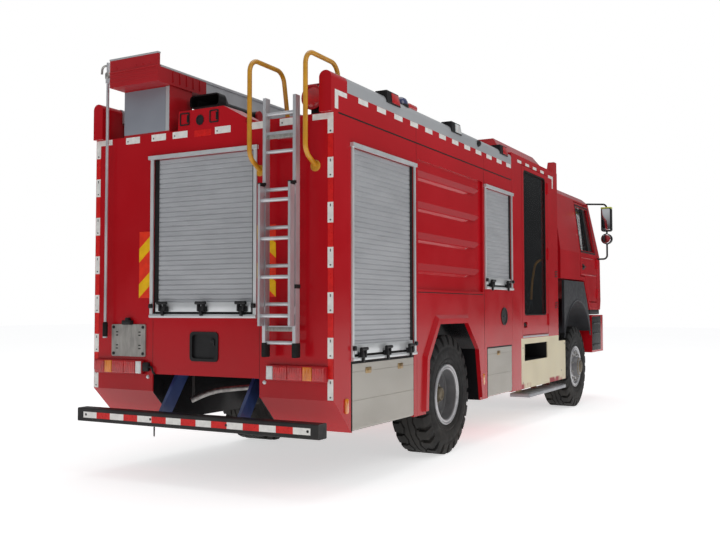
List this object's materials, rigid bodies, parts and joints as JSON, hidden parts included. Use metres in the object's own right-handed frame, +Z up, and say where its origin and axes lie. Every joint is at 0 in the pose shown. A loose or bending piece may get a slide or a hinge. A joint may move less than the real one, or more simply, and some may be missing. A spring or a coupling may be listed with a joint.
{
  "type": "airport fire truck",
  "caption": "Red two-axle airport fire truck: tilting cab, glazed crew cabin, shuttered equipment body, roof monitor, ladders and fold-down lower doors.",
  "frame": {"origin": "middle of the overall length and width, on the ground under the tyres", "axes": "+X forward along the truck, +Y to its left, +Z up"},
  "size_m": [9.05, 2.95, 3.65],
  "materials": {
    "red_paint": "gloss",
    "black_paint": "satin",
    "frame_paint": "satin",
    "blue_paint": "satin",
    "yellow_paint": "gloss",
    "cream_paint": "satin",
    "pale_rail": "gloss",
    "aluminium": "satin",
    "steel": "satin",
    "tyre": "matte",
    "glass": "clear",
    "lamp_red": "gloss",
    "lamp_clear": "gloss",
    "black_plastic": "matte",
    "seat_cloth": "matte"
  },
  "bodies": {
    "chassis": {"chassis_frame": "frame_paint", "leaf_springs": "frame_paint", "rear_axle": "frame_paint", "front_axle": "frame_paint", "powertrain": "frame_paint", "underrun_bar": "black_paint", "underrun_struts": "blue_paint", "rear_body": "red_paint", "tank_body": "red_paint", "wheel_flares": "red_paint", "locker_body": "red_paint", "roller_shutters": "aluminium", "shutter_frames": "aluminium", "roof_rails": "pale_rail", "ladder_gantry": "red_paint", "roof_ladder": "aluminium", "rear_ladder": "aluminium", "grab_rails": "yellow_paint", "hook_pole": "aluminium", "tail_lamps": "lamp_red", "roof_lamps": "lamp_red", "plate_carrier": "steel", "crew_cabin": "red_paint", "crew_skirts": "cream_paint", "crew_seats": "seat_cloth", "monitor_base": "black_paint", "front_bumper": "red_paint", "headlamps": "lamp_clear", "mudguards": "black_plastic"},
    "cab": {"cab_shell": "red_paint", "cab_glass": "glass", "cab_seats": "seat_cloth", "dashboard": "black_plastic", "mirrors": "black_plastic"},
    "cab_door_right": {"cab_door_right": "red_paint", "cab_door_glass_right": "glass"},
    "cab_door_left": {"cab_door_left": "red_paint", "cab_door_glass_left": "glass"},
    "crew_door_right": {"crew_door_right": "red_paint", "crew_glass_right": "glass"},
    "crew_door_left": {"crew_door_left": "red_paint", "crew_glass_left": "glass"},
    "rear_flap_right": {"rear_flap_right": "aluminium"},
    "rear_flap_left": {"rear_flap_left": "aluminium"},
    "front_flap_right": {"front_flap_right": "aluminium"},
    "front_flap_left": {"front_flap_left": "aluminium"},
    "monitor_head": {"monitor_head": "black_paint"},
    "monitor_barrel": {"monitor_barrel": "black_paint"},
    "knuckle_left": {"knuckle_left": "frame_paint"},
    "knuckle_right": {"knuckle_right": "frame_paint"},
    "tie_rod": {"tie_rod": "frame_paint"},
    "wheel_rear_left": {"tyre_rear_left": "tyre", "rim_rear_left": "steel"},
    "wheel_rear_right": {"tyre_rear_right": "tyre", "rim_rear_right": "steel"},
    "wheel_front_left": {"tyre_front_left": "tyre", "rim_front_left": "steel"},
    "wheel_front_right": {"tyre_front_right": "tyre", "rim_front_right": "steel"}
  },
  "joints": [
    {"name": "steer_left", "type": "hinge", "parent": "chassis", "child": "knuckle_left", "pos_m": [2.86, 0.93, 0.59], "axis": [0, 0, 1], "range_deg": [-32, 32]},
    {"name": "steer_right", "type": "hinge", "parent": "chassis", "child": "knuckle_right", "pos_m": [2.86, -0.93, 0.59], "axis": [0, 0, 1], "range_deg": [-32, 32]},
    {"name": "tie_rod_turn", "type": "hinge", "parent": "knuckle_left", "child": "tie_rod", "pos_m": [2.76, 0.93, 0.43], "axis": [0, 0, 1], "range_deg": [-32, 32]},
    {"name": "wheel_front_left_spin", "type": "hinge", "parent": "knuckle_left", "child": "wheel_front_left", "pos_m": [2.86, 1.015, 0.59], "axis": [0, 1, 0], "continuous": true},
    {"name": "wheel_rear_left_spin", "type": "hinge", "parent": "chassis", "child": "wheel_rear_left", "pos_m": [-1.99, 1.015, 0.59], "axis": [0, 1, 0], "continuous": true},
    {"name": "wheel_front_right_spin", "type": "hinge", "parent": "knuckle_right", "child": "wheel_front_right", "pos_m": [2.86, -1.015, 0.59], "axis": [0, 1, 0], "continuous": true},
    {"name": "wheel_rear_right_spin", "type": "hinge", "parent": "chassis", "child": "wheel_rear_right", "pos_m": [-1.99, -1.015, 0.59], "axis": [0, 1, 0], "continuous": true},
    {"name": "cab_tilt", "type": "hinge", "parent": "chassis", "child": "cab", "pos_m": [4.275, 0, 1.37], "axis": [0, 1, 0], "range_deg": [0, 50]},
    {"name": "cab_door_left_open", "type": "hinge", "parent": "cab", "child": "cab_door_left", "pos_m": [4.031, 1.235, 2.3], "axis": [0, 0, -1], "range_deg": [0, 70]},
    {"name": "crew_door_left_open", "type": "hinge", "parent": "chassis", "child": "crew_door_left", "pos_m": [1.3071, 1.25, 2.16], "axis": [0, 0, -1], "range_deg": [0, 85]},
    {"name": "rear_flap_left_open", "type": "hinge", "parent": "chassis", "child": "rear_flap_left", "pos_m": [-3.4675, 1.23, 0.495], "axis": [-1, 0, 0], "range_deg": [0, 90]},
    {"name": "front_flap_left_open", "type": "hinge", "parent": "chassis", "child": "front_flap_left", "pos_m": [-0.585, 1.23, 0.495], "axis": [-1, 0, 0], "range_deg": [0, 90]},
    {"name": "cab_door_right_open", "type": "hinge", "parent": "cab", "child": "cab_door_right", "pos_m": [4.031, -1.235, 2.3], "axis": [0, 0, 1], "range_deg": [0, 70]},
    {"name": "crew_door_right_open", "type": "hinge", "parent": "chassis", "child": "crew_door_right", "pos_m": [1.3071, -1.25, 2.16], "axis": [0, 0, 1], "range_deg": [0, 85]},
    {"name": "rear_flap_right_open", "type": "hinge", "parent": "chassis", "child": "rear_flap_right", "pos_m": [-3.4675, -1.23, 0.495], "axis": [1, 0, 0], "range_deg": [0, 90]},
    {"name": "front_flap_right_open", "type": "hinge", "parent": "chassis", "child": "front_flap_right", "pos_m": [-0.585, -1.23, 0.495], "axis": [1, 0, 0], "range_deg": [0, 90]},
    {"name": "monitor_pan", "type": "hinge", "parent": "chassis", "child": "monitor_head", "pos_m": [-3.375, 0.19, 3.09], "axis": [0, 0, 1], "range_deg": [0, 110]},
    {"name": "monitor_raise", "type": "hinge", "parent": "monitor_head", "child": "monitor_barrel", "pos_m": [-3.375, 0.19, 3.265], "axis": [0, 1, 0], "range_deg": [0, 70]}
  ],
  "couplings": [
    {"joint": "steer_right", "follows": "steer_left", "ratio": 1},
    {"joint": "tie_rod_turn", "follows": "steer_left", "ratio": -1}
  ]
}
